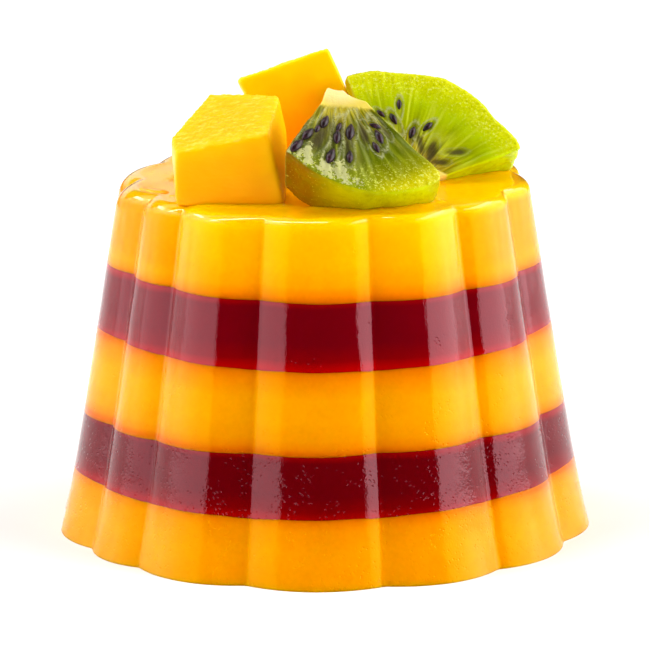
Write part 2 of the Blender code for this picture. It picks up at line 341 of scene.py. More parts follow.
# For each border: its height at the front, its rise towards the right, how much it bows up
# at both sides, and its dip at a groove.
BORDER_SWINGS = (
    (0.0, 0.45 * MM, 0.35 * MM, 0.5 * MM),
    (0.0, 0.45 * MM, 0.0, 0.1 * MM),
    (-0.1 * MM, 0.0, 0.8 * MM, 0.35 * MM),
    (-0.3 * MM, -0.2 * MM, 0.5 * MM, 0.1 * MM),
)
DIP_WIDTH = math.radians(4.5)  # a dip dies away over this angle from its groove
LOBE_SWELL = 0.8 * MM  # one lobe of the rim, at the back on the left, stands higher
LOBE_BEARING = math.radians(-129)
LOBE_PLACE = 0.93  # share of the way from the axis to the rim
LOBE_WIDTH = 4.0 * MM


def skirt(points):
    """How high juice stands at each point of the top."""
    nearest = np.min([distance_outside(points[:, :2], outline) for outline in FEET.values()], axis=0)
    return SKIRT_HEIGHT * np.exp(-nearest / SKIRT_WIDTH)


def border_swing(number):
    """How far the border above layer `number` strays from level, round the wall.

    Each layer set while the one before it was already firm. It dips a little where the
    mould's ridges made the grooves, and no pour was quite level.
    """
    nearest = np.abs((BEARINGS[:, None] - GROOVES[None, :] + math.pi) % (2 * math.pi) - math.pi)
    dip = np.exp(-((nearest.min(axis=1) / DIP_WIDTH) ** 2))
    front, slope, bow, notch = BORDER_SWINGS[number]
    sideways = np.sin(BEARINGS)
    return front + slope * sideways + bow * sideways**2 - notch * dip


def leaned(ring, floor):
    """Raise a ring with the lean of the top: fully at the top, not at all at the layer's floor."""
    share = np.clip((ring[:, 2:] - floor) / (level - floor), 0.0, 1.0)
    lifted = ring.copy()
    lifted[:, 2:] += share * (top_height(ring)[:, None] - level)
    return lifted


def top_layer(floor):
    """The wall, the rounded rim and the flat top.

    At angle a of the rounding the ring is drawn in by r (1 - cos a) and stands r (1 - sin a)
    below the top, while the flutes fade. The second result is 1 where juice wets the rim.
    """
    sideways = np.sin(BEARINGS)
    rounding = RIM_ROUNDING + RIM_ROUNDING_SIDES * sideways**2 - RIM_ROUNDING_SWING * sideways
    wall_top = level - rounding.max()
    wall = [wall_ring(z) for z in np.arange(floor, wall_top, RING_STEP)]
    rim = []
    for angle in np.linspace(0.0, math.pi / 2, RIM_STEPS + 1):
        share = 1.0 - (1.0 - RIM_FLUTE_SHARE) * math.sin(angle) ** 2
        height = level - rounding * (1 - math.sin(angle))
        rim.append(wall_ring(height, rounding * (1 - math.cos(angle)), share))
    rings = [leaned(ring, floor) for ring in wall + rim]
    edge = rings[-1]
    for shrink in np.linspace(1.0, 0.0, CAP_RINGS + 1)[1:-1]:
        ring = edge.copy()
        ring[:, :2] = AXIS + shrink * (edge[:, :2] - AXIS)
        ring[:, 2] = top_height(ring)
        rings.append(ring)
    rings = np.array(rings)
    flat = rings[-(CAP_RINGS - 1 + RIM_STEPS // 2) :]
    spots = flat.reshape(-1, 3)
    calm = smooth_step(0.0, 1.0, np.minimum(np.arange(len(flat)) / RIM_STEPS, 1.0))[:, None]
    lobe_reach = LOBE_PLACE * np.hypot(*(flat[0, :, :2] - AXIS).T).mean()
    lobe = AXIS + lobe_reach * np.array([math.sin(LOBE_BEARING), -math.cos(LOBE_BEARING)])
    swell = np.exp(-(((spots[:, :2] - lobe) ** 2).sum(axis=1)) / LOBE_WIDTH**2)
    rise = skirt(spots) + TOP_WAVER * ripples(spots[:, :2], 11 * MM, seed=8) + LOBE_SWELL * swell
    rise = rise.reshape(len(flat), -1)
    flat[:, :, 2] += calm * rise
    # Juice wets the upper part of the rounding.
    number = np.arange(len(rings)) - len(wall)
    rim_mark = smooth_step(5.0, 8.0, number) * smooth_step(RIM_STEPS + 1.0, RIM_STEPS - 2.0, number)
    return rings, np.append(np.repeat(rim_mark, RING_POINTS), [0.0, 0.0])


floors = [0.0, *layer_tops[:-1]]
layers = {}
for number, (name, floor, top) in enumerate(zip(LAYERS, floors, layer_tops)):
    if name == LAYERS[-1]:
        rings, rim_mark = top_layer(floor)
    else:
        steps = round((top - floor) / RING_STEP)
        rings = np.array([wall_ring(z) for z in np.linspace(floor, top, steps + 1)])
        rim_mark = np.zeros(len(rings) * RING_POINTS + 2)
    # The wall follows its borders: each ring is raised by its share of their swings.
    share = np.clip((rings[:, :, 2] - floor) / (top - floor), 0.0, 1.0)
    low = border_swing(number - 1) if number > 0 else 0.0
    high = border_swing(number) if name != LAYERS[-1] else 0.0
    swing = (1 - share) * low + share * high
    rings[:, :, :2] -= (TAPER * swing)[..., None] * AWAY
    rings[:, :, 2] += swing
    layers[name] = make_piece("set_" + name, *stacked_rings(rings), {"rim": rim_mark}, flat_caps=True)

# %% [markdown]
# A little juice has run off the cut fruit and lies on the flat top as thin films. Surface
# tension holds the edge of each film round, so its height at share s of the way from the
# middle to the edge is `h sqrt(1 - s^4)`: nearly flat inside, steep at the edge.

# %% Films of juice
JUICE_HEIGHT = 0.3 * MM
JUICE_SUNK = 0.15 * MM  # the underside lies this far inside the jelly, so no air shows
JUICE_AROUND = 64  # points round the edge of a film
JUICE_STEPS = 12  # rings from the edge to the middle
# The middle of each film from the axis, its half length and half width, all in millimetres,
# and the way it lies in degrees.
JUICE_FILMS = (
    (-28.4, -10.6, 2.9, 1.1, -40.0),
    (-24.6, -15.2, 1.5, 0.8, -30.0),
)


def juice_film(x, y, half_length, half_width, lie):
    """Rings of one film from its underside to its middle."""
    angles = np.linspace(0.0, 2 * math.pi, JUICE_AROUND, endpoint=False)
    edge = np.stack([half_length * np.cos(angles), half_width * np.sin(angles)], axis=1) * MM
    edge *= 1.0 + 0.1 * ripples(edge, 2.5 * MM, seed=31)[:, None]
    turn = math.radians(lie)
    edge = edge @ np.array([[math.cos(turn), math.sin(turn)], [-math.sin(turn), math.cos(turn)]])
    share = np.concatenate([[0.97], np.cos(np.linspace(0.0, 0.49 * math.pi, JUICE_STEPS))])
    rings = np.zeros((len(share), len(angles), 3))
    rings[:, :, :2] = share[:, None, None] * edge + np.array([x, y]) * MM
    rings[:, :, 2] = top_height(rings) + (JUICE_HEIGHT * np.sqrt(1.0 - share**4))[:, None]
    rings[0, :, 2] = top_height(rings[0]) - JUICE_SUNK
    return rings


parts = [stacked_rings(juice_film(*film)) for film in JUICE_FILMS]
starts = np.cumsum([0] + [len(points) for points, _, _ in parts[:-1]])
juice_films = make_piece(
    "juice_films",
    np.vstack([points for points, _, _ in parts]),
    np.vstack([quads + start for (_, quads, _), start in zip(parts, starts)]),
    np.vstack([triangles + start for (_, _, triangles), start in zip(parts, starts)]),
)

# %% [markdown]
# ## Blocks for cut fruit
#
# All four pieces of fruit are things that a knife made: a few flat cuts with slightly soft
# edges. Each starts as the skin of a block of small square cells. A block has no poles and
# no seams, so nothing pinches, and a formula can then bend it into any cut shape.


# %% The skin of a block
def block_skin(half_sizes, step, rounding):
    """The points and outward quads of a closed block.

    Corners are softened by keeping a smaller block inside and letting every point of the
    skin stand one rounding radius away from it.
    """
    half = np.asarray(half_sizes, float)
    counts = np.maximum(np.round(2 * half / step).astype(int), 2)
    places = np.indices(counts + 1).reshape(3, -1).T
    outside = ((places == 0) | (places == counts)).any(axis=1)
    index = np.full(len(places), -1)
    index[outside] = np.arange(outside.sum())
    index = index.reshape(counts + 1)
    quads = []
    for axis in range(3):
        for side in (0, -1):
            grid = np.moveaxis(index, axis, 0)[side]
            quad = np.stack([grid[:-1, :-1], grid[1:, :-1], grid[1:, 1:], grid[:-1, 1:]], axis=-1)
            # Turning about y swaps the order of the other two axes, so that side is flipped.
            inward = (side == 0) != (axis == 1)
            quads.append(quad.reshape(-1, 4)[:, ::-1] if inward else quad.reshape(-1, 4))
    points = (places[outside] / counts * 2 - 1) * half
    core = np.clip(points, rounding - half, half - rounding)
    away = points - core
    points = core + rounding * away / np.linalg.norm(away, axis=1)[:, None]
    return points, np.vstack(quads)


def outward(points, quads):
    """The direction that faces away from the piece at each point: the mean of its faces'."""
    corners = points[quads]
    faces = np.cross(corners[:, 2] - corners[:, 0], corners[:, 3] - corners[:, 1])
    total = np.zeros_like(points)
    for corner in range(4):
        np.add.at(total, quads[:, corner], faces)
    return total / np.linalg.norm(total, axis=1)[:, None]


def flat_cuts(name, parallel=0.99, smallest=0.03):
    """The knife cuts of a CAD node, largest first: outward normal, a point on it, and area.

    Triangles that face nearly the same way belong to one cut. A group with less than the
    `smallest` share of the whole skin is a softened edge and is left out.
    """
    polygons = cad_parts[name].data.polygons
    count = len(polygons)
    normals, centres, areas = np.empty(count * 3), np.empty(count * 3), np.empty(count)
    polygons.foreach_get("normal", normals)
    polygons.foreach_get("center", centres)
    polygons.foreach_get("area", areas)
    normals, centres = normals.reshape(-1, 3), centres.reshape(-1, 3)
    left = np.argsort(-areas)
    cuts = []
    while len(left):
        same = normals[left] @ normals[left[0]] > parallel
        group = left[same]
        weight = areas[group][:, None]
        normal = (normals[group] * weight).sum(axis=0)
        normal /= np.linalg.norm(normal)
        cuts.append((normal, (centres[group] * weight).sum(axis=0) / weight.sum(), weight.sum()))
        left = left[~same]
    cuts = [cut for cut in cuts if cut[2] > smallest * areas.sum()]
    return sorted(cuts, key=lambda cut: -cut[2])


# %% [markdown]
# ## Mango chunks
#
# A chunk of ripe mango is dense and smooth where the knife slid, and torn into short fibres
# where it dragged. A point of its skin lies on the line from the chunk's middle in some
# direction, at the distance of the nearest cut. Taking a soft nearest, the sum of the
# cuts' inverse distances to a high power, rounds every edge and corner at once.

# %% Mango chunks
MANGO_STEP = 0.25 * MM
MANGO_EDGE = 1.0 * MM
MANGO_POWER = 110  # higher makes sharper edges
MANGO_SWELL = 0.06 * MM  # height of the slow swells that a knife leaves
TORN_RELIEF = 0.07 * MM
TORN_FIBRE = 0.6 * MM  # across a fibre; one is about twice as long as wide
FIBRE_STRETCH = np.array([0.45, 1.0, 1.0])
TORN_NICKS = 0.10 * MM  # nicks stand this far out where fibres came away
EDGE_GLOW = 4.0 * MM  # light comes through this much flesh at an edge
FOOT_SUNK = 0.1 * MM  # the foot sinks this far into the wet top, so that no air shows under it


def soft_nearest(directions, cuts, middle):
    """Distance from the middle to the cuts in each direction, edges rounded.

    With d the distance to one cut and p the power, it is (sum of d^-p)^(-1/p).
    """
    inverse = np.zeros(len(directions))
    for normal, point, _ in cuts:
        inverse += (np.maximum(directions @ normal, 0.0) / ((point - middle) @ normal)) ** MANGO_POWER
    return inverse ** (-1.0 / MANGO_POWER)


def mango_chunk(name, torn_from, seed):
    """A chunk whose sides that face up more than `torn_from` are torn into fibres."""
    low, high = (np.array(corner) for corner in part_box(name))
    middle, half = (low + high) / 2, (high - low) / 2
    skin, quads = block_skin(half, MANGO_STEP, MANGO_EDGE)
    directions = skin / np.linalg.norm(skin, axis=1)[:, None]
    cuts = flat_cuts(name, 0.9998, 0.0)
    points = middle + directions * soft_nearest(directions, cuts, middle)[:, None]
    # How near an edge a point is, for the painted glow there: the distance to the second nearest
    # of the large cuts.
    faces = [cut for cut in flat_cuts(name) if cut[0][2] > -0.5]
    depths = np.sort(np.stack([(point - points) @ normal for normal, point, _ in faces]), axis=0)
    edge = 1 - smooth_step(0.0, EDGE_GLOW, depths[1])
    facing = outward(points, quads)
    torn = smooth_step(torn_from, torn_from + 0.15, facing[:, 2])
    stretched = points * FIBRE_STRETCH
    fibres = ripples(stretched, TORN_FIBRE, seed) + 0.6 * ripples(stretched, 0.6 * TORN_FIBRE, seed + 1)
    swell = MANGO_SWELL * ripples(points, 6 * MM, seed + 2)
    nicks = TORN_NICKS * torn * np.maximum(ripples(points, 3.5 * MM, seed + 3), 0.0)
    points = points + facing * (torn * TORN_RELIEF * fibres + swell + nicks)[:, None]
    points[:, 2] = np.maximum(points[:, 2], top_height(points) - FOOT_SUNK)
    # Its lowest part goes deeper still, because the top isn't quite flat.
    low_part = points[:, 2] < low[2] + 0.6 * MM
    points[low_part, 2] -= 0.4 * MM
    return make_piece("cut_" + name, points, quads, marks={"torn": torn, "edge": edge})


chunk_front = mango_chunk("mango_chunk_front", 0.35, seed=21)
chunk_back = mango_chunk("mango_chunk_back", 0.80, seed=31)

# %% [markdown]
# ## Kiwi cuts
#
# Both kiwi pieces are sectors of a round slice. Their two straight cuts meet at the fruit's
# core, which is how the core is found on the CAD face. Everything in a kiwi runs along or
# round that core: pale spokes, rows of seeds, a grainy rim. So each point also keeps its
# angle round the core and its distance from it, for the material to use.

# %% Read a kiwi cut from its CAD face
KIWI_STEP = 0.22 * MM
KIWI_EDGE = 0.7 * MM  # rounding between the cut face and the peeled side, as in the CAD
KIWI_HALF_LENGTH = 34 * MM  # half the length of the whole fruit
END_SOFTNESS = 0.3 * MM
OUTLINE_TERMS = 7


class KiwiFace:
    """The plane of a kiwi's upper cut, its core, and its outline round that core.

    The peeled side isn't square to the face: it moves sideways by `slant` for each unit of
    depth. `ends` are the cuts that shorten the piece, each an outward direction and a point.
    """

    def __init__(self, name, slant, ends):
        normal, point, _ = next(cut for cut in flat_cuts(name, 0.999) if cut[0][2] > 0.3)
        bearing = math.atan2(normal[0], -normal[1])
        self.normal = normal
        self.level = np.array([math.cos(bearing), math.sin(bearing), 0.0])
        self.upslope = np.cross(normal, self.level)
        self.slant = slant
        self.ends = ends
        solid = node_points(name)
        depth = (point - solid) @ normal
        self.thickness = depth.max()
        face = solid[np.abs(depth) < 0.01 * MM]
        flat = in_order(np.stack([(face - point) @ self.level, (face - point) @ self.upslope], axis=1))
        # The two longest sides of the outline are the straight cuts; they cross at the core.
        sides = np.roll(flat, -1, axis=0) - flat
        one, two = np.argsort(-np.hypot(*sides.T))[:2]
        run = np.linalg.solve(np.stack([sides[one], -sides[two]], axis=1), flat[two] - flat[one])
        core = flat[one] + run[0] * sides[one]
        self.core = point + core[0] * self.level + core[1] * self.upslope
        angle = np.arctan2(*(flat - core).T[::-1])
        reach = np.hypot(*(flat - core).T)
        arc = np.flatnonzero(reach > 0.75 * reach.max())
        arc = arc[np.argsort(angle[arc])]
        self.angles = np.linspace(angle[arc[0]], angle[arc[-1]], 60)
        # The CAD outline has corners; a smooth curve through them is closer to peeled fruit.
        curve = np.polynomial.Polynomial.fit(angle[arc], reach[arc], min(OUTLINE_TERMS, len(arc) - 2))
        self.radii = curve(self.angles) + KIWI_EDGE
        self.tip = reach.min()
        print(name, "core", (self.core / MM).round(1), "span", np.degrees(self.angles[[0, -1]]).round(1))
        print("   radius", (self.radii[::12] / MM).round(1), "thick", (self.thickness / MM).round(1))

    def place(self, angle, reach, depth):
        """Points in space from angles round the core, distances from it and depths."""
        along = reach * np.cos(angle) + self.slant[0] * depth
        up = reach * np.sin(angle) + self.slant[1] * depth
        in_face = along[:, None] * self.level + up[:, None] * self.upslope
        return self.core + in_face - depth[:, None] * self.normal

    def cut_short(self, points):
        """Draw points that lie beyond an end back to it, along the cut face.

        A point at distance d past the start of the soft edge s comes to s e^(-d / s) before
        the end. The second result is 1 for points that now lie in an end.
        """
        fresh = np.zeros(len(points))
        for normal, point in self.ends:
            along = normal - (normal @ self.normal) * self.normal
            along /= along @ normal
            beyond = (points - point) @ normal
            over = np.maximum(beyond + END_SOFTNESS, 0.0) / END_SOFTNESS
            drawn = np.where(over > 0, -END_SOFTNESS * np.exp(-over), beyond)
            points = points + (drawn - beyond)[:, None] * along
            fresh = np.maximum(fresh, smooth_step(0.0, 2.0, over))
        return points, fresh


wedge_low, wedge_high = (np.array(corner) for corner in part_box("kiwi_wedge_front"))
wedge_ends = ((np.array([-1.0, 0.0, 0.0]), wedge_low), (np.array([1.0, 0.0, 0.0]), wedge_high))
slice_end, slice_end_point, _ = next(cut for cut in flat_cuts("kiwi_slice_back") if cut[0][0] < -0.8)
# The hidden end of the slice leans on the mango, so it fills the space that the CAD leaves.
slice_ends = ((slice_end, slice_end_point + 0.35 * MM * slice_end),)
wedge_face = KiwiFace("kiwi_wedge_front", (0.1, -0.08), wedge_ends)
slice_face = KiwiFace("kiwi_slice_back", (0.0, 0.0), slice_ends)

# %% [markdown]
# Seeds lie in one ring round the core with their points towards it. Some are cut free, and
# some only show as a dark shape under the wet flesh. Round each one the flesh is clearer, so
# it looks darker, and a thin pale skin closes that clear spot off.

# %% Where the seeds are
# Angle round the core in degrees, distance from it and length in millimetres, how many
# degrees the seed is turned from pointing straight out, and how much of it is cut free.
WEDGE_SEEDS = (
    (-115, 10.4, 2.5, -12, 1.0),
    (-119.5, 12.2, 1.7, -9, 0.5),
    (-124.5, 14.0, 2.7, -18, 0.7),
    (-127.5, 17.2, 3.0, -16, 1.0),
    (-102, 10.9, 1.7, -22, 1.0),
    (-104, 12.9, 2.6, -7, 1.0),
    (-93, 11.8, 3.0, -19, 1.0),
    (-96, 14.5, 2.3, -15, 0.3),
    (-97, 16.7, 2.3, -11, 0.5),
    (-108, 17.0, 2.9, -16, 1.0),
    (-117, 14.5, 3.6, -15, 0.0),
    (-70, 11.7, 1.8, 44, 1.0),
    (-73, 13.8, 2.6, -11, 1.0),
    (-79, 15.4, 2.0, 2, 1.0),
    (-66, 13.6, 1.9, -6, 0.3),
    (-83, 12.8, 2.4, -6, 0.0),
    (-129, 9.9, 1.2, 10, 0.3),
)
SLICE_SEEDS = (
    (86, 16.4, 1.7, 0, 1.0),
    (90, 13.7, 2.0, 24, 1.0),
    (75, 11.5, 2.1, -8, 1.0),
    (65, 13.4, 2.0, -24, 1.0),
    (98, 14.9, 1.6, 36, 1.0),
    (35, 12.9, 1.8, -33, 0.0),
    (66, 10.3, 1.9, 30, 0.0),
    (52, 9.9, 2.8, 20, 0.0),
    (37, 9.2, 1.8, -40, 0.0),
)
SEED_LENGTH = 1.22  # the drawn-out tips of a seed hardly show
SEED_WIDTH = 0.52  # width and thickness as shares of the length
SEED_THICKNESS = 0.42


def seed_marks(angle, reach, seeds):
    """Clear flesh, pale skin and buried dark shapes round the seeds, each from 0 to 1.

    With e the distance from a seed's middle, 1 at its outline, they are e^-(e / 1.7)^4,
    e^-((e - 1.7) / 0.25)^2 and e^-(e / 1.1)^4.
    """
    clear, skin, buried = np.zeros((3, len(angle)))
    east, north = reach * np.cos(angle), reach * np.sin(angle)
    for seed_angle, distance, length, turned, free in seeds:
        out = math.radians(seed_angle)
        axis = math.radians(seed_angle + turned)
        x = east - distance * MM * math.cos(out)
        y = north - distance * MM * math.sin(out)
        along = (x * math.cos(axis) + y * math.sin(axis)) / (0.5 * length * MM)
        beside = (y * math.cos(axis) - x * math.sin(axis)) / (0.5 * SEED_WIDTH * length * MM)
        # The clear spot runs out into a long tail towards the core.
        stretch = np.where(along > 0, 0.8, 0.5)
        from_middle = np.hypot(along * stretch, beside)
        clear = np.maximum(clear, np.exp(-((from_middle / 1.7) ** 4)))
        skin = np.maximum(skin, np.exp(-(((from_middle - 1.7) / 0.25) ** 2)) * (0.3 + 0.7 * free))
        buried = np.maximum(buried, (1 - free) * np.exp(-((from_middle / 1.1) ** 4)))
    return clear, skin * (1 - clear**4) * (1 - 0.7 * buried), buried


print(len(WEDGE_SEEDS), "seeds in the wedge,", len(SLICE_SEEDS), "in the slice")


# %% [markdown]
# A block becomes a sector when one of its sides is read as the angle round the core, the
# second as the distance from it and the third as the depth behind the cut face. Behind the
# face the fruit narrows like an egg. The knife followed the wedge's pale core on the left
# and nicked its corner on the right, so both ends of the sector may change with the
# distance from the core.

# %% Bend blocks into kiwi cuts
SPOKE_RELIEF = 0.06 * MM  # height of the ribs that run out from the core
GRAIN_RELIEF = 0.04 * MM  # height of the grain near the rim
CORE_RISE = 0.2 * MM  # the firm core stands a little proud of the cut
SEED_HOLLOW = 0.15 * MM  # the clear flesh round a seed is softer and lies lower
FILM_RISE = 0.05 * MM  # the skins round seeds and the film of juice stand this high
KIWI_SWELL = 0.12 * MM  # height of the slow swells of soft flesh
CORE_BLUR = 0.25 * MM  # the core's edge fades over this on either side
# Numbers that each point keeps: its angle round the core, its distance as a share of the
# rim's and in millimetres, its depth in millimetres, and how far it belongs to the cut face,
# the core, a seed's clear flesh, pale skin or buried shape, and the film of juice, which is
# also painted with a pale sheen.
KIWI_MARKS = (
    "angle", "reach", "distance", "depth", "cut_face", "core", "clear", "pale", "buried", "film",
)


def kiwi_cut(name, face, core_radius, core_angle, seeds, first=None, tip=None, wet=None, seed=0):
    """A sector of kiwi; `first` and `tip` say how its left cut and its inner end run.

    The core's edge is a line at `core_radius` from the middle, square to `core_angle`.
    `wet` gives the share of the cut that a film of juice covers; the film is raised a little
    and painted with a pale sheen.
    """
    radius = np.mean(face.radii)
    span = face.angles[-1] - face.angles[0]
    half = np.array([span * radius, radius - face.tip, face.thickness]) / 2
    skin, quads = block_skin(half, KIWI_STEP, KIWI_EDGE)
    share = skin / half
    depth = (1 - share[:, 2]) / 2 * face.thickness
    out = (share[:, 1] + 1) / 2
    reach = face.tip + out * (radius - face.tip)
    left = face.angles[0] if first is None else first(reach)
    # Angles run down along the block's first side, so that its outside stays outside.
    angle = face.angles[-1] - (share[:, 0] + 1) / 2 * (face.angles[-1] - left)
    narrow = np.sqrt(1 - (depth / KIWI_HALF_LENGTH) ** 2)
    rim = np.interp(angle, face.angles, face.radii) * narrow
    inner = face.tip if tip is None else tip(angle)
    reach = inner + out * (rim - inner)
    points = face.place(angle, reach, depth)
    facing = outward(points, quads)
    cut_face = smooth_step(0.6, 0.95, facing @ face.normal)
    # Spokes: relief that changes quickly round the core and slowly along it.
    spoked = np.stack([angle * radius * 0.5, reach * 0.12, depth * 0.12], axis=1)
    spokes = ripples(spoked, 0.8 * MM, seed + 1)
    grain = ripples(points, 0.55 * MM, seed + 2) * smooth_step(0.72, 0.95, reach / rim)
    core_reach = reach * np.cos(angle - core_angle)
    core_edge = core_radius - CORE_BLUR, core_radius + CORE_BLUR
    core = 1 - smooth_step(*core_edge, core_reach + 0.1 * MM * spokes)
    clear, pale, buried = seed_marks(angle, reach, seeds)
    film = np.zeros(len(points)) if wet is None else wet(angle, reach / rim, spokes, points) * cut_face
    swell = KIWI_SWELL * ripples(points, 5 * MM, seed + 3)
    relief = SPOKE_RELIEF * spokes * cut_face * (1 - core) + GRAIN_RELIEF * grain
    relief += cut_face * (CORE_RISE * core - SEED_HOLLOW * clear + FILM_RISE * (pale + film))
    points, fresh = face.cut_short(points + facing * (relief + swell)[:, None])
    cut_face = np.maximum(cut_face, fresh)
    points[:, 2] = np.maximum(points[:, 2], top_height(points) - FOOT_SUNK)
    seed_values = (clear * cut_face, pale * cut_face, buried * cut_face)
    values = (angle, reach / rim, reach / MM, depth / MM, cut_face, core, *seed_values, film)
    return make_piece("cut_" + name, points, quads, marks=dict(zip(KIWI_MARKS, values)))


# %% Cut the two pieces of kiwi
WEDGE_CUT = math.radians(-125.5)  # the wedge's left cut, as an angle round the core
WEDGE_FLARE = math.radians(6.0)  # the left cut has flared out by this at the rim
WEDGE_TIP = (3.4 * MM, 7.0 * MM)  # where the flesh starts, from the core, left and right
# The film of juice is raised a little and painted with a pale sheen.
FILM_AND_SHEEN_SPAN = (0.83, 0.985)  # the film of juice, as shares of the way from the core to the rim
FILM_AND_SHEEN_END = np.radians([-90.0, -97.0])  # from the left it reaches this angle and thins out
WEDGE_CORE = (6.9 * MM, math.radians(-101))  # the core's edge, and the way it faces
SLICE_CORE = (6.8 * MM, math.radians(60))


def wedge_left(reach):
    """The wedge's left cut: straight down the core's side, then flaring out to the rim."""
    return WEDGE_CUT - WEDGE_FLARE * smooth_step(5 * MM, 17 * MM, reach)


def wedge_tip(angle):
    """The wedge's inner end: square on the left, with its right corner nicked off."""
    return np.interp(angle, np.radians([-84.0, -58.0]), WEDGE_TIP)


def wedge_film_and_sheen(angle, share, spokes, points):
    """A film of juice lies along the wedge's lower left edge and runs up between the seeds."""
    # The film raises the flesh a little and is painted with a pale sheen, a painted reflection.
    ragged = ripples(points, 0.9 * MM, 71) * 0.035 + ripples(points, 0.45 * MM, 72) * 0.02
    fingers = 0.07 * np.clip(ripples(np.stack([angle * 9, angle * 0], axis=1), 1.1, 73), -1, 1)
    inner = smooth_step(0.0, 0.03, share - FILM_AND_SHEEN_SPAN[0] + fingers + ragged)
    outer = smooth_step(0.0, 0.02, FILM_AND_SHEEN_SPAN[1] - share + ragged)
    left = smooth_step(*FILM_AND_SHEEN_END, angle + 0.4 * fingers)
    return inner * outer * left * (0.75 + 0.25 * np.clip(spokes, -1, 1))


kiwi_wedge = kiwi_cut(
    "kiwi_wedge_front",
    wedge_face,
    *WEDGE_CORE,
    WEDGE_SEEDS,
    first=wedge_left,
    tip=wedge_tip,
    wet=wedge_film_and_sheen,
    seed=41,
)
kiwi_slice = kiwi_cut("kiwi_slice_back", slice_face, *SLICE_CORE, SLICE_SEEDS, seed=51)

# %% [markdown]
# Kiwi seeds are small, hard, glossy teardrops whose points look at the core. One seed is a
# stack of rings, and all the seeds of a face are that one shape moved into many places at
# once, so the whole set is a single light mesh. The back cut shows the same ring of seeds.

# %% Seeds
SEED_AROUND = 14  # points in a ring of a seed
SEED_ALONG = 9  # rings from tip to base
SEED_SUNK = 0.05 * MM  # a seed that's cut free lies this deep in the flesh


def seed_shape():
    """One seed of length 1 along Y.

    At place t from tip to base its width is sin(pi t)^0.8, narrowed towards the tip.
    """
    t = np.linspace(0.06, 0.97, SEED_ALONG)
    turn = np.arange(SEED_AROUND) / SEED_AROUND * 2 * math.pi
    width = np.sin(math.pi * t) ** 0.8 * (0.62 + 0.38 * t)
    x = 0.5 * SEED_WIDTH * width[:, None] * np.cos(turn)
    z = 0.5 * SEED_THICKNESS * width[:, None] * np.sin(turn)
    y = np.repeat((t - 0.5)[:, None], SEED_AROUND, axis=1)
    # Along +Y the rings must run the other way round to face outwards.
    return stacked_rings(np.stack([x, y, z], axis=2)[:, ::-1])


def kiwi_seeds(name, face, seeds, sunk):
    """The free seeds of both cuts of a piece, laid flat and sunk this deep into the flesh.

    Every seed is the same shape times its length, turned so that Y points out from the core.
    """
    shape, quads, triangles = seed_shape()
    free = np.array([row for row in seeds if row[4] > 0.4], float)
    angle, turned = np.radians(free[:, 0]), np.radians(free[:, 3])
    distance, length = free[:, 1] * MM, SEED_LENGTH * free[:, 2] * MM
    # A seed that's mostly buried lies deeper.
    deep = sunk + 0.15 * MM * (1 - free[:, 4])
    count = len(free)
    side = np.repeat([1.0, -1.0], count)
    angle, turned, distance, length = (np.tile(row, 2) for row in (angle, turned, distance, length))
    depth = np.concatenate([deep, face.thickness - deep])
    middle = face.place(angle, distance, depth)
    out = np.cos(angle + turned)[:, None] * face.level + np.sin(angle + turned)[:, None] * face.upslope
    up = side[:, None] * face.normal
    axes = np.stack([np.cross(out, up), out, up], axis=1)
    inside = middle[:, 2] > top_height(middle) + 1.5 * MM
    for normal, point in face.ends:
        inside &= (middle - point) @ normal < -1.5 * MM
    middle, axes, length = middle[inside], axes[inside], length[inside]
    points = middle[:, None, :] + length[:, None, None] * np.einsum("pk,skx->spx", shape, axes)
    step = (np.arange(len(middle)) * len(shape))[:, None, None]
    return make_piece(name, points.reshape(-1, 3), quads + step, triangles + step)


seeds_wedge = kiwi_seeds("kiwi_seeds_wedge", wedge_face, WEDGE_SEEDS, SEED_SUNK)
seeds_slice = kiwi_seeds("kiwi_seeds_slice", slice_face, SLICE_SEEDS, SEED_SUNK)

# %% [markdown]
# ## Colours and nodes
#
# Colours are written as sRGB hex codes, the way a painter picks them, and one function turns
# them into the linear light that the renderer works with. One other function adds a node
# with its settings and links. Two more put such nodes in a row, because every finish here is
# built the same way: some values are multiplied into a mask, and a tone is laid over the
# colour below wherever its mask says so.


# %% Colour and node helpers
def linear(hex_code):
    """Linear RGBA of an sRGB hex colour: c / 12.92 near black, else ((c + 0.055) / 1.055)^2.4."""
    channels = np.array([int(hex_code[k : k + 2], 16) for k in (0, 2, 4)]) / 255
    light = np.where(channels <= 0.04045, channels / 12.92, ((channels + 0.055) / 1.055) ** 2.4)
    return (*light.tolist(), 1.0)


def add_node(tree, kind, inputs=None, take=0, **settings):
    """Add one node and give back the output `take`.

    `inputs` are values, or outputs to link, for its sockets; `settings` are its properties.
    """
    node = tree.nodes.new("ShaderNode" + kind)
    for name, value in settings.items():
        setattr(node, name, value)
    for socket, value in (inputs or {}).items():
        if isinstance(value, bpy.types.NodeSocket):
            tree.links.new(value, node.inputs[socket])
        else:
            node.inputs[socket].default_value = value
    return node.outputs[take] if node.outputs else None


def set_stops(colour, stops):
    """Give the colour ramp behind this output its (place, sRGB hex) stops, in rising order."""
    elements = colour.node.color_ramp.elements
    while len(elements) > 1:
        elements.remove(elements[-1])
    for number, (place, hex_code) in enumerate(stops):
        element = elements[0] if number == 0 else elements.new(place)
        element.position = place
        element.color = linear(hex_code)
    return colour


def mask(tree, *steps, curve="SMOOTHSTEP"):
    """The product of the steps.

    A step is a value, or (value, low, high) for its place between low and high, or (value,
    low, high, to_low, to_high) for that place moved to another span.
    """
    product = None
    for step in steps:
        if isinstance(step, tuple):
            spans = dict(zip(("Value", "From Min", "From Max", "To Min", "To Max"), step))
            step = add_node(tree, "MapRange", spans, interpolation_type=curve)
        if product is None:
            product = step
        else:
            product = add_node(tree, "Math", {0: product, 1: step}, operation="MULTIPLY")
    return product


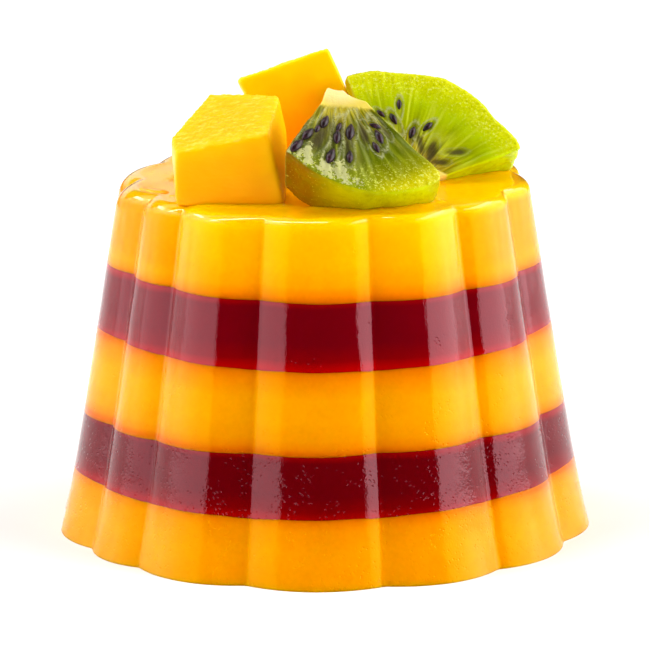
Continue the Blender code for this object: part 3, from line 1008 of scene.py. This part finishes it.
def painted(tree, colour, *coats):
    """Lay coats over a colour one after another; each is a tone and the steps of its mask."""
    for tone, *steps in coats:
        tone = linear(tone) if isinstance(tone, str) else tone
        # In a Mix node, sockets 6 and 7 and output 2 are the ones for colours.
        blend = {"Factor": mask(tree, *steps), 6: colour, 7: tone}
        colour = add_node(tree, "Mix", blend, 2, data_type="RGBA")
    return colour


def empty_material(name):
    """A material with nothing in it yet, and its node tree."""
    material = bpy.data.materials.new(name)
    material.use_nodes = True
    material.node_tree.nodes.clear()
    return material, material.node_tree


def per_mm(size):
    """Texture scale that makes one feature this many millimetres across."""
    return 1000.0 / size


print("middle grey in linear light:", round(linear("808080")[0], 3))

# %% [markdown]
# ## Set jelly
#
# Jelly is sugar water in a soft net of gelatine. It gives the eye three things: a colour
# with depth, as light enters, spreads and leaves again; a skin as glossy as wet glass, as it
# copied a smooth mould; and a light clouding, from fruit pulp in it. Sugar water has an index
# of 1.35. Matched, the mango jelly comes a little lower, at 1.32, and the firmer berry
# jelly at 1.45, and each tints its shine a little, with a specular tint.
#
# Close to a dark red layer, the yellow loses light to it and turns deeper, and the red takes
# up a glow along its edges. A ramp over the height paints both, as painted shade and a
# painted glow, and it paints the top layer paler than the lower ones, as painted light from
# above. Painted shade makes the top layer deeper towards its left and right sides, where
# light has a longer way through the jelly. All of it follows places on the jelly, so it stays
# where it is when the camera moves.
#
# A faint ripple, a fine frost and pinprick pits break up the reflections. Air bubbles left
# the pits against the mould, most of them low down. Pits and frost are drawn larger than
# they are, or they wouldn't show. Juice keeps the rounded rim wet, which a clear coat gives.

# %% Jelly materials
MANGO_INDEX = 1.32
BERRY_INDEX = 1.45
RELIEFS = {"ripple": 0.02 * MM, "frost": 0.015 * MM, "pits": 0.045 * MM}  # how deep they are
PITTED = (45 * MM, 12 * MM)  # pits get more common from this height down to this one
# Painted shade deepens the top layer's colour towards its left and right sides, within these spans.
SHADE_SIDES = (16.5 * MM, 30.5 * MM)  # the top layer deepens between these places, left and right
SHADE_FROM = (46.5 * MM, 51.0 * MM)  # it does so above these heights
SHADE_TO = (59.6 * MM, 57.5 * MM)  # and below these


def jelly(name, stops, index, tint, scatter, radius, side_shade=0.0):
    """Glossy, faintly cloudy jelly whose colour follows the height above the foot.

    The colour holds painted light and shade: deeper near the borders, a glow on the red's
    edges, a paler top layer. `side_shade` is how much painted shade deepens the top layer's
    colour at its left and right sides.
    """
    material, tree = empty_material(name)
    place = add_node(tree, "TexCoord", take="Object")
    across, height = (add_node(tree, "SeparateXYZ", {"Vector": place}, axis) for axis in "XZ")
    cloud, pulp, ripple, frost, patches = (
        add_node(tree, "TexNoise", {"Vector": place, "Scale": per_mm(size), "Detail": detail})
        for size, detail in ((5.0, 3.0), (0.7, 2.0), (1.3, 1.0), (0.35, 1.0), (4.0, 2.0))
    )
    share = add_node(tree, "Math", {0: height, 1: level}, operation="DIVIDE")
    by_height = add_node(tree, "ValToRGB", {"Fac": share})
    set_stops(by_height, [(stop * MM / level, hex_code) for stop, hex_code in stops])
    # Painted shade: the top layer turns deeper orange towards its left and right sides.
    sideways = add_node(tree, "Math", {0: across}, operation="ABSOLUTE")
    in_top_layer = ((height, *SHADE_FROM, 0.0, side_shade), (height, *SHADE_TO))
    deep = painted(tree, by_height, ("FF8C00", (sideways, *SHADE_SIDES), *in_top_layer))
    clouding, speckle = (cloud, 0.3, 0.7, 0.97, 1.03), (pulp, 0.3, 0.7, 0.97, 1.02)
    strength = mask(tree, clouding, speckle, curve="LINEAR")
    clouded = add_node(tree, "VectorMath", {0: deep, "Scale": strength}, operation="SCALE")
    # Pits are round and lie in patches, and there are more patches low down.
    cells = add_node(tree, "TexVoronoi", {"Vector": place, "Scale": per_mm(0.7)})
    low = mask(tree, (height, *PITTED, -0.12, 0.09), curve="LINEAR")
    patchy = add_node(tree, "Math", {0: patches, 1: low}, operation="ADD")
    pits = mask(tree, (cells, 0.35, 0.05), (patchy, 0.53, 0.59))
    relief = {"Strength": 1.0}
    for (mark, depth), lift in zip(RELIEFS.items(), (ripple, frost, pits)):
        relief |= {"Height": lift, "Distance": depth}
        relief["Normal"] = add_node(tree, "Bump", relief, invert=mark == "pits")
    surface = add_node(
        tree,
        "BsdfPrincipled",
        {
            "Base Color": clouded,
            "Roughness": mask(tree, (cloud, 0.3, 0.7, 0.02, 0.05), curve="LINEAR"),
            "IOR": index,
            "Specular Tint": linear(tint),
            "Subsurface Weight": scatter,
            "Subsurface Radius": radius,
            "Subsurface Scale": 1.0,
            "Normal": relief["Normal"],
            "Coat Weight": add_node(tree, "Attribute", take="Fac", attribute_name="rim"),
            "Coat Roughness": 0.03,
            "Coat IOR": 1.45,
        },
    )
    add_node(tree, "OutputMaterial", {"Surface": surface})
    print(f"{name}: {len(tree.nodes)} nodes, colours at {len(stops)} heights")
    return material


# %% The two jellies
# Heights in millimetres up the tower, with the colour there, painted light and shade included:
# the yellow deeper next to each red layer, the red glowing at its edges, the top layer paler.
MANGO_STOPS = (
    (0.0, "E69200"),
    (6.0, "E89600"),
    (9.5, "E48C00"),
    (10.8, "DE7800"),
    (11.4, "D86400"),
    (21.8, "D46000"),
    (22.8, "DE8000"),
    (24.0, "E29000"),
    (27.0, "E89A00"),
    (30.5, "E89A00"),
    (33.5, "E28400"),
    (34.8, "DC7000"),
    (35.4, "D85C00"),
    (46.4, "DC6400"),
    (47.4, "EC8400"),
    (48.8, "F49C00"),
    (52.0, "FEAC00"),
    (56.0, "FFB400"),
    (58.3, "FFBA00"),
    (59.4, "FFBE00"),
    (60.0, "FFB400"),
)
BERRY_STOPS = (
    (11.4, "9C0200"),
    (12.6, "780002"),
    (15.0, "620006"),
    (20.4, "620006"),
    (21.5, "8E0002"),
    (35.4, "AC0000"),
    (36.8, "800004"),
    (39.5, "6C000A"),
    (45.2, "6C000A"),
    (46.4, "9C0000"),
)
mango_jelly = jelly(
    "mango_jelly_set", MANGO_STOPS, MANGO_INDEX, "FFF000", 1.0, (2.4 * MM, 2.0 * MM, 0.8 * MM), 0.9
)
berry_jelly = jelly(
    "berry_jelly_set", BERRY_STOPS, BERRY_INDEX, "FFBCC8", 0.6, (2.5 * MM, 0.3 * MM, 0.3 * MM)
)
for name, piece in layers.items():
    piece.data.materials.append(mango_jelly if name.endswith("mango") else berry_jelly)

# %% [markdown]
# ## Mango flesh
#
# Ripe mango is a dense, moist, fine-fibred flesh. Its material gives an even, waxy yellow with
# painted shade, deeper and more orange low down, where less light reaches it, a painted glow
# along its edges, where light comes through, and a flecked surface where the knife tore it.
# Water with much sugar in it has an index of 1.38, and the flesh lends its shine some of its
# own yellow.


# %% Mango flesh material
def mango_flesh(name, low_hex, high_hex, low, high):
    """Smooth flesh from `low_hex` at its foot to `high_hex`, with flecks on torn faces."""
    material, tree = empty_material(name)
    place = add_node(tree, "TexCoord", take="Object")
    edge, torn = (
        add_node(tree, "Attribute", take="Fac", attribute_name=mark) for mark in ("edge", "torn")
    )
    height = add_node(tree, "SeparateXYZ", {"Vector": place}, "Z")
    soft = add_node(tree, "TexNoise", {"Vector": place, "Scale": per_mm(5.0), "Detail": 2.0})
    swing = mask(tree, (soft, 0.0, 1.0, -4 * MM, 4 * MM), curve="LINEAR")
    bent = add_node(tree, "Math", {0: height, 1: swing}, operation="ADD")
    # The body runs from painted shade at the foot to the lit tone higher up.
    body = add_node(tree, "ValToRGB", {"Fac": mask(tree, (bent, low, high), curve="LINEAR")})
    set_stops(body, ((0.0, low_hex), (1.0, high_hex)))
    # Fibres are 0.3 mm wide in a real mango, and are drawn twice as coarse to show.
    along = add_node(tree, "Mapping", {"Vector": place, "Scale": (0.4, 1.0, 1.0)})
    grain = {"Vector": along, "Scale": per_mm(0.7), "Detail": 3.0, "Roughness": 0.6}
    fibres = add_node(tree, "TexNoise", grain)
    relief = {"Strength": 1.0, "Distance": 0.05 * MM, "Height": fibres}
    surface = add_node(
        tree,
        "BsdfPrincipled",
        {
            # A painted glow along the edges, and paler flecks on the torn fibres.
            "Base Color": painted(
                tree, body, ("FFD400", edge, 0.3), ("FFC840", (fibres, 0.5, 0.68), torn)
            ),
            "Roughness": mask(tree, (torn, 0.0, 1.0, 0.34, 0.5), curve="LINEAR"),
            "IOR": 1.38,
            "Specular Tint": linear("FFD870"),
            "Subsurface Weight": 0.35,
            "Subsurface Radius": (3.0 * MM, 1.6 * MM, 0.4 * MM),
            "Subsurface Scale": 1.0,
            "Normal": add_node(tree, "Bump", relief),
        },
    )
    add_node(tree, "OutputMaterial", {"Surface": surface})
    print(f"{name}: {len(tree.nodes)} nodes")
    return material


# The deeper tone at each chunk's foot is painted shade.
for name, piece, deep, ripe in (
    ("mango_chunk_front", chunk_front, "FFAC00", "FFB200"),
    ("mango_chunk_back", chunk_back, "F87000", "FFC600"),
):
    low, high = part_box(name)
    flesh = mango_flesh("flesh_of_" + name, deep, ripe, low.z, low.z + 0.8 * (high.z - low.z))
    piece.data.materials.append(flesh)

# %% [markdown]
# ## Kiwi flesh and seeds
#
# Cut kiwi is wet, soft and half clear. Light goes in and comes out green, most of all where
# the flesh is thin. Round the core the eye sees fine fibres, then the ring of seeds in clear,
# dark flesh, then bright green crossed by pale spokes, and last a grainy, paler rim, with
# painted glints on its grains and painted shade in its pits. The peeled side has no pattern,
# only a slow change of colour, painted into shade at the wedge's left end. The distance from
# the core picks the colour, with painted light on the wedge's right half, and noise that is
# stretched along the spokes breaks it up. The gloss is soft and smoother where juice lies on
# it, and a pale sheen is painted there. Its index starts from 1.35, that of juice, and is
# matched a little lower.


# %% Kiwi flesh material
def kiwi_flesh(name, node, zones, sunny_zones, sunny_angles, side_stops, core_tones, spokes, bars):
    """Wet flesh for the kiwi that stands for the CAD node `node`.

    `zones` are (distance from the core in mm, colour) stops. Between the two `sunny_angles`
    they change into `sunny_zones`, painted light. The peeled side follows `side_stops` from
    left to right, with painted shade at the wedge's left end.
    The two `core_tones` are the core's colours towards the middle and at its edge. Pale
    spokes and the milky bars between the seeds are mixed in with their shares.
    """
    material, tree = empty_material(name)
    place = add_node(tree, "TexCoord", take="Object")
    angle, reach, distance, depth, cut_face, core, clear, pale, buried, film = (
        add_node(tree, "Attribute", take="Fac", attribute_name=mark) for mark in KIWI_MARKS
    )
    round_core = add_node(tree, "CombineXYZ", {"X": angle, "Y": distance, "Z": depth})

    def spoked(turns, lengths):
        """A place that changes this many times for each radian and each mm outwards."""
        many = {0: round_core, 1: (turns, lengths, 0.1)}
        return add_node(tree, "VectorMath", many, operation="MULTIPLY")

    broad, threads, patchy, specks, grain, mottle = (
        add_node(tree, "TexNoise", dict(zip(("Vector", "Scale", "Detail", "Roughness"), row)))
        for row in (
            (spoked(9.0, 0.08), 1.0, 2.0, 0.5),
            (spoked(26.0, 0.1), 1.0, 3.0, 0.6),
            (spoked(5.0, 0.15), 1.0, 1.0, 0.5),
            (place, per_mm(0.45), 2.0, 0.7),
            (place, per_mm(0.35), 2.0, 0.6),
            (place, per_mm(1.6), 3.0, 0.5),
        )
    )
    cells = {"Vector": spoked(6.0, 0.02), "Scale": 1.0}
    borders = add_node(tree, "TexVoronoi", cells, feature="DISTANCE_TO_EDGE")
    share = add_node(tree, "Math", {0: distance, 1: zones[-1][0]}, operation="DIVIDE")
    plain, sunny = (
        set_stops(
            add_node(tree, "ValToRGB", {"Fac": share}),
            [(stop / zones[-1][0], hex_code) for stop, hex_code in stops],
        )
        for stops in (zones, sunny_zones)
    )
    # The film of juice gets a painted pale sheen and a smoother gloss.
    fray = mask(tree, (grain, 0.25, 0.75, -0.35, 0.35), curve="LINEAR")
    ragged = add_node(tree, "Math", {0: film, 1: fray}, operation="ADD")
    wet = mask(tree, (ragged, 0.42, 0.6))
    near_core, near_rim = (distance, 15.0, 8.0), (reach, 0.70, 0.95)
    bar_span = ((distance, 20.0, 16.0), (distance, 9.0, 12.0, 0.0, bars))
    spoke_span = ((distance, 8.5, 11.0), (reach, 0.97, 0.82))
    cut = painted(
        tree,
        plain,
        # Painted light on the wedge's right half.
        (sunny, (angle, *sunny_angles)),
        # Broad darker bands, clear flesh round the seeds, and lighter bars.
        ("2E3A04", (broad, 0.52, 0.36), (distance, 19.0, 10.0), 0.6),
        ("38360C", clear, (distance, 8.0, 10.5, 0.0, 0.45)),
        ("7C7C28", (broad, 0.5, 0.62), *bar_span),
        # Fine threads close to the core, light ones and dark ones.
        ("B8A418", (threads, 0.5, 0.66), near_core, 0.75),
        ("6A5C0A", (threads, 0.5, 0.36), near_core, 0.4),
        # Pale spokes: the borders of long cells that point at the core.
        ("B4BE28", (borders, 0.09, 0.01), (patchy, 0.36, 0.55), *spoke_span, spokes),
        # The grainy rim: pale grains with painted glints, and small pits with painted shade.
        ("CCD058", (specks, 0.54, 0.68), near_rim, 0.8),
        ("6E8002", (specks, 0.44, 0.32), near_rim, 0.45),
        # Pale skins round the seeds, buried seeds, and a painted pale sheen on the film of juice.
        ("A8A880", pale, (grain, 0.32, 0.55), 0.6),
        ("3A2E24", buried, 0.8),
        ("B0AE7A", wet, 0.8),
    )
    low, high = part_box(node)
    across = add_node(tree, "SeparateXYZ", {"Vector": place}, "X")
    side = add_node(tree, "ValToRGB", {"Fac": mask(tree, (across, low.x, high.x), curve="LINEAR")})
    peeled = painted(
        tree,
        set_stops(side, side_stops),
        ("7A7800", (mottle, 0.45, 0.7, 0.0, 0.3)),
        ("E6DC50", (specks, 0.62, 0.74, 0.0, 0.35)),
    )
    middle_tone, edge_tone = core_tones
    firm = painted(tree, linear(middle_tone), (edge_tone, (distance, 4.5, 7.5)))
    lift = add_node(tree, "Math", {0: specks, 1: mask(tree, threads, 0.6)}, operation="ADD")
    relief = {"Strength": 1.0, "Distance": 0.07 * MM, "Height": lift}
    surface = add_node(
        tree,
        "BsdfPrincipled",
        {
            "Base Color": painted(tree, peeled, (cut, cut_face), (firm, core)),
            "Roughness": mask(tree, (wet, 0.0, 1.0, 0.26, 0.14)),
            "IOR": 1.3,
            "Specular Tint": linear("E8F040"),
            "Subsurface Weight": 0.45,
            "Subsurface Radius": (1.2 * MM, 1.4 * MM, 0.3 * MM),
            "Subsurface Scale": 1.0,
            "Normal": add_node(tree, "Bump", relief),
        },
    )
    add_node(tree, "OutputMaterial", {"Surface": surface})
    print(f"{name}: {len(tree.nodes)} nodes, colours at {len(zones)} distances from the core")
    return material


# %% The two kiwi cuts
# Distances from the core in millimetres, with the colour there. The wedge has a second row,
# for its right half, which stands in the light: painted light.
WEDGE_ZONES = (
    (0.0, "D8C470"),
    (7.4, "A89820"),
    (9.5, "847812"),
    (11.5, "4C480A"),
    (16.0, "4A5214"),
    (19.5, "6C7218"),
    (24.0, "808A08"),
)
WEDGE_SUNNY = (
    (0.0, "D8C470"),
    (7.4, "A09410"),
    (10.0, "606000"),
    (13.0, "4A5200"),
    (18.0, "525C00"),
    (21.5, "7C7C00"),
    (24.0, "B4AA00"),
)
SLICE_ZONES = (
    (0.0, "D8B460"),
    (8.2, "988214"),
    (10.0, "868200"),
    (12.5, "929E00"),
    (17.0, "9CAE00"),
    (20.0, "B6BE00"),
    (23.0, "C6C40C"),
)
# Along the peeled side, from 0 at the left end of the piece to 1 at its right end. The
# wedge's dark brown left end is painted shade.
WEDGE_SIDE = (
    (0.0, "784600"),
    (0.15, "885F00"),
    (0.35, "AEA600"),
    (0.62, "AAAD00"),
    (0.89, "BBC400"),
    (1.0, "A4A100"),
)
SLICE_SIDE = ((0.0, "A09400"), (0.5, "B0C000"), (0.65, "B8D300"), (0.82, "B0D300"), (1.0, "C0D800"))
wedge_flesh = kiwi_flesh(
    "kiwi_flesh_wet_cut",
    "kiwi_wedge_front",
    WEDGE_ZONES,
    WEDGE_SUNNY,
    (math.radians(-95), math.radians(-82)),
    WEDGE_SIDE,
    ("E2CE8C", "CCB64C"),
    spokes=0.2,
    bars=0.55,
)
slice_flesh = kiwi_flesh(
    "kiwi_flesh_fresh_cut",
    "kiwi_slice_back",
    SLICE_ZONES,
    SLICE_ZONES,
    (0.0, 1.0),
    SLICE_SIDE,
    ("E0C468", "D8C468"),
    spokes=0.6,
    bars=0.0,
)
kiwi_wedge.data.materials.append(wedge_flesh)
kiwi_slice.data.materials.append(slice_flesh)

# %% [markdown]
# A seed has a hard, dark coat with a plum tinge. It is wet, with an index of 1.36, and gives
# the eye one soft shine. Clear yellow juice in so thin a film takes the colour of the jelly
# under it and adds a mirror-like gloss.

# %% Seed coat and juice
for name, size, roughness, index, stops, wet_pieces in (
    (
        "kiwi_seed_coat",
        0.6,
        0.3,
        1.36,
        ((0.4, "140608"), (0.6, "30101C"), (0.7, "4A2A3A")),
        (seeds_wedge, seeds_slice),
    ),
    ("fruit_juice_wet_film", 1.5, 0.02, 1.35, ((0.35, "FFAA00"), (0.65, "FFBE0A")), (juice_films,)),
):
    material, tree = empty_material(name)
    place = add_node(tree, "TexCoord", take="Object")
    swirl = add_node(tree, "TexNoise", {"Vector": place, "Scale": per_mm(size), "Detail": 2.0})
    tone = set_stops(add_node(tree, "ValToRGB", {"Fac": swirl}), stops)
    wet_skin = {"Base Color": tone, "Roughness": roughness, "IOR": index}
    add_node(tree, "OutputMaterial", {"Surface": add_node(tree, "BsdfPrincipled", wet_skin)})
    for piece in wet_pieces:
        piece.data.materials.append(material)
    print(f"{name}: {len(tree.nodes)} nodes on {len(wet_pieces)} pieces")

# %% [markdown]
# ## Which piece stands for which solid
#
# Each layer of jelly and each cut of fruit takes the place of one CAD solid, which is hidden,
# so that the plain solid no longer shows. Seeds and films of juice have no solid of their
# own. Nothing moves, so everything rides on the one body, the root.

# %% Ride and replace
pieces = [(piece, name, name.split("_")[-1] + "_jelly") for name, piece in layers.items()]
pieces += [
    (chunk_front, "mango_chunk_front", "mango_flesh"),
    (chunk_back, "mango_chunk_back", "mango_flesh"),
    (kiwi_wedge, "kiwi_wedge_front", "kiwi_flesh"),
    (kiwi_slice, "kiwi_slice_back", "kiwi_flesh"),
]
for piece, node, slot in pieces:
    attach(piece, "root")
    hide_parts(node)
loose = ((seeds_wedge, "kiwi_seed"), (seeds_slice, "kiwi_seed"), (juice_films, "fruit_juice"))
for piece, slot in loose:
    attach(piece, "root")
print(len(pieces), "pieces stand for solids,", len(loose), "more lie on them")

# %% [markdown]
# ## Floor, light and camera
#
# The jelly stands on a wide sheet of white paper, so large that its edge never shows. It is
# matt, and its grey is as light as real paper, which sends back nine tenths of the light.

# %% Floor
FLOOR_REACH = 3.0
PAPER_GREY = 0.9
floor_mesh = bpy.data.meshes.new("floor")
corners = [(FLOOR_REACH * x, FLOOR_REACH * y, 0) for x, y in ((-1, -1), (1, -1), (1, 1), (-1, 1))]
floor_mesh.from_pydata(corners, [], [(0, 1, 2, 3)])
floor = bpy.data.objects.new("floor", floor_mesh)
bpy.context.scene.collection.objects.link(floor)
paper, tree = empty_material("white_studio_paper")
matt = {
    "Base Color": (PAPER_GREY, PAPER_GREY, PAPER_GREY, 1.0),
    "Roughness": 0.9,
    "Specular IOR Level": 0.0,
}
add_node(tree, "OutputMaterial", {"Surface": add_node(tree, "BsdfPrincipled", matt)})
floor_mesh.materials.append(paper)
print("floor:", 2 * FLOOR_REACH, "m wide")

# %% [markdown]
# Wet jelly shows its lights as mirror images, so every light is a plain rectangle and its
# size and place matter more than its strength. A row of upright panels at each side draws
# the bright lines down the flutes. The panels get dimmer towards the back, because jelly
# mirrors more at a glancing look. The flat top mirrors what stands behind it: a low card on
# the left and a dim, wide box far away. The boxes overhead light the fruit and put short
# bright lines on the wet rim, most of them on the left.


# %% Lights
def soft_box(name, centre, size, facing, brightness):
    """A rectangular soft light whose face has this brightness, where 1 is white paper.

    Width runs along the light's own X and height along its Y.
    """
    light = bpy.data.lights.new(name, "AREA")
    light.shape = "RECTANGLE"
    light.size, light.size_y = size
    light.energy = brightness * math.pi * size[0] * size[1]
    lamp = bpy.data.objects.new(name, light)
    lamp.location = centre
    lamp.rotation_euler = Vector(facing).to_track_quat("-Z", "Y").to_euler()
    lamp.visible_camera = False
    bpy.context.scene.collection.objects.link(lamp)
    print(f"{name}: {size[0]:.2f} by {size[1]:.2f} m, {light.energy:.2f} W")


def side_light(name, x, facing, panels, height=1.4):
    """A row of upright panels at this x: each is (nearer end, farther end, brightness)."""
    for number, (near, far, brightness) in enumerate(panels):
        middle = (x, (near + far) / 2, height / 2)
        soft_box(f"{name}_{number}", middle, (far - near, height), facing, brightness)


DOWN = (0, 0, -1)
side_light("soft_box_left", -0.9, (1, 0, 0), ((-1.03, 0.1, 3.6), (0.1, 0.5, 2.0), (0.5, 1.0, 0.9)))
side_light("soft_box_right", 0.9, (-1, 0, 0), ((-0.75, 0.15, 5.5), (0.15, 0.5, 2.9), (0.5, 1.1, 1.5)))
soft_box("light_card_back", (-0.27, 0.5, 0.175), (0.45, 0.15), (0, -1, 0), 0.75)
soft_box("soft_box_far", (0.0, 1.0, 1.3), (2.4, 0.8), DOWN, 0.7)
soft_box("soft_box_top_left", (-1.1, 1.0, 1.25), (0.3, 0.8), DOWN, 5.0)
soft_box("soft_box_top_right", (0.95, 0.75, 1.25), (0.4, 1.0), DOWN, 1.8)
soft_box("soft_box_top", (-0.45, 0.1, 1.2), (1.1, 0.15), DOWN, 12.0)

# The room itself is nearly black, and the picture keeps the colours as they are mixed.
ROOM_GREY = 0.02
world = bpy.data.worlds.new("studio")
bpy.context.scene.world = world
world.use_nodes = True
room = world.node_tree.nodes["Background"].inputs["Color"]
room.default_value = (ROOM_GREY, ROOM_GREY, ROOM_GREY, 1.0)
bpy.context.scene.view_settings.view_transform = "Standard"

# %% [markdown]
# The camera stands at the front and looks down a little, as a person at a table does from a
# step away. A long lens keeps the upright lines upright and the five layers level.

# %% Camera
CAMERA_RISE = math.radians(13.11)
CAMERA_DISTANCE = 0.69841
CAMERA_AIM = Vector((0.00004, 0.0, 0.03405))
CAMERA_ROLL = math.radians(-0.22)
CAMERA_LENS = 225.1  # mm, on a 36 mm wide sensor
camera_data = bpy.data.cameras.new("camera")
camera_data.lens = CAMERA_LENS
camera_data.clip_start = 0.01
camera = bpy.data.objects.new("camera", camera_data)
away = Vector((0.0, -math.cos(CAMERA_RISE), math.sin(CAMERA_RISE)))
camera.location = CAMERA_AIM + CAMERA_DISTANCE * away
look = (-away).to_track_quat("-Z", "Y").to_matrix().to_4x4()
camera.matrix_world = Matrix.Translation(camera.location) @ look @ Matrix.Rotation(CAMERA_ROLL, 4, "Z")
bpy.context.scene.collection.objects.link(camera)
bpy.context.scene.camera = camera
print("camera at", [round(float(part), 3) for part in camera.location], "m")
